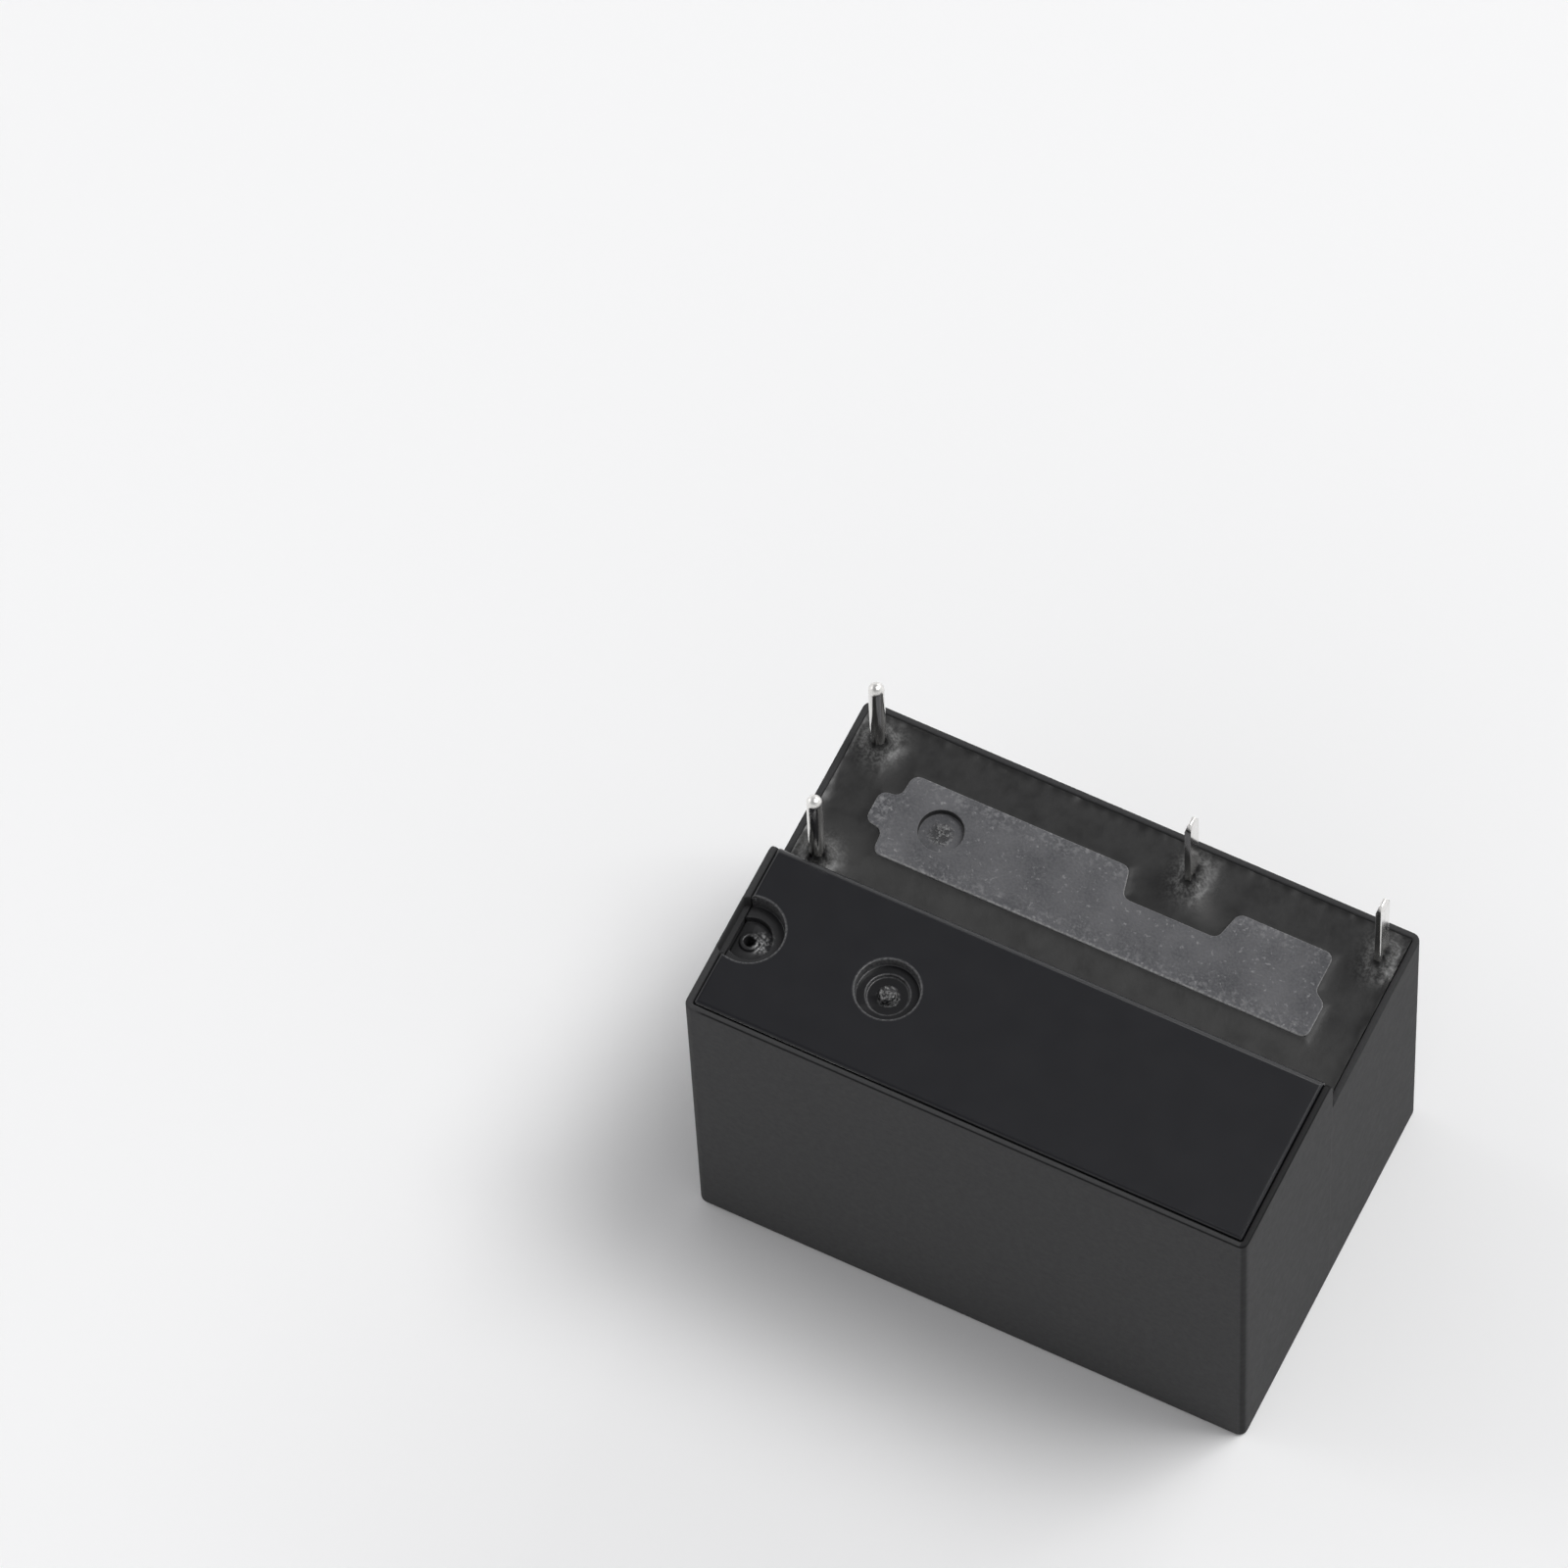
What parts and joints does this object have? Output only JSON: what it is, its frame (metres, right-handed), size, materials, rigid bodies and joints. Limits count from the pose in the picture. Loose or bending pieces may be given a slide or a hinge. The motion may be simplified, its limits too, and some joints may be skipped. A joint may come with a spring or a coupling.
{
  "type": "sealed board power relay",
  "caption": "Small sealed relay for a circuit board: a deep plastic case, a stepped base with resin seal, round coil pins and flat contact pins, with a coil, armature and make contact inside.",
  "frame": {"origin": "bottom centre of the part as it lies on its flat case face, pins up", "axes": "+X along the case from the coil pins to the common pin, +Y from the raised strip to the rear pin row, +Z along the pins"},
  "size_m": [0.0226, 0.015, 0.019],
  "materials": {
    "case_plastic": "fine satin moulded surface",
    "base_plastic": "glossy black on the strip, matte grey on the island",
    "resin": "cured potting resin, satin with glossy climbs",
    "tinned_pin": "bright tin plate",
    "bobbin_plastic": "natural filled nylon",
    "copper_wire": "enamelled copper",
    "tape": "polyester tape",
    "soft_iron": "plated soft iron",
    "spring_bronze": "rolled bronze strip",
    "card_plastic": "natural moulded plastic",
    "contact_silver": "silver alloy"
  },
  "bodies": {
    "case": {"cover": "case_plastic", "base": "base_plastic", "sealing_resin": "resin", "coil_terminal_rear": "tinned_pin", "coil_terminal_front": "tinned_pin", "fixed_terminal": "tinned_pin", "common_terminal": "tinned_pin", "bobbin": "bobbin_plastic", "winding": "copper_wire", "coil_tape": "tape", "core": "soft_iron", "yoke": "soft_iron", "hinge_spring": "spring_bronze", "fixed_contact": "contact_silver", "spring_rivets": "contact_silver", "coil_lead_rear": "copper_wire", "coil_lead_front": "copper_wire"},
    "armature": {"armature": "soft_iron", "card": "card_plastic"},
    "contact": {"moving_spring": "spring_bronze", "moving_contact": "contact_silver"}
  },
  "joints": [
    {"name": "armature_tilt", "type": "hinge", "parent": "case", "child": "armature", "pos_m": [0.00643, -0.00278, 0.01175], "axis": [0, 1, 0], "range_deg": [0, 4], "stiffness_Nm_per_rad": 0.001, "springref_deg": -5.73},
    {"name": "contact_flex", "type": "hinge", "parent": "case", "child": "contact", "pos_m": [0.01005, 0.00555, 0.0085], "axis": [0, 1, 0], "range_deg": [0, 6.2], "deforming": ["moving_spring"]}
  ],
  "couplings": [
    {"joint": "contact_flex", "follows": "armature_tilt", "ratio": 1.55}
  ]
}
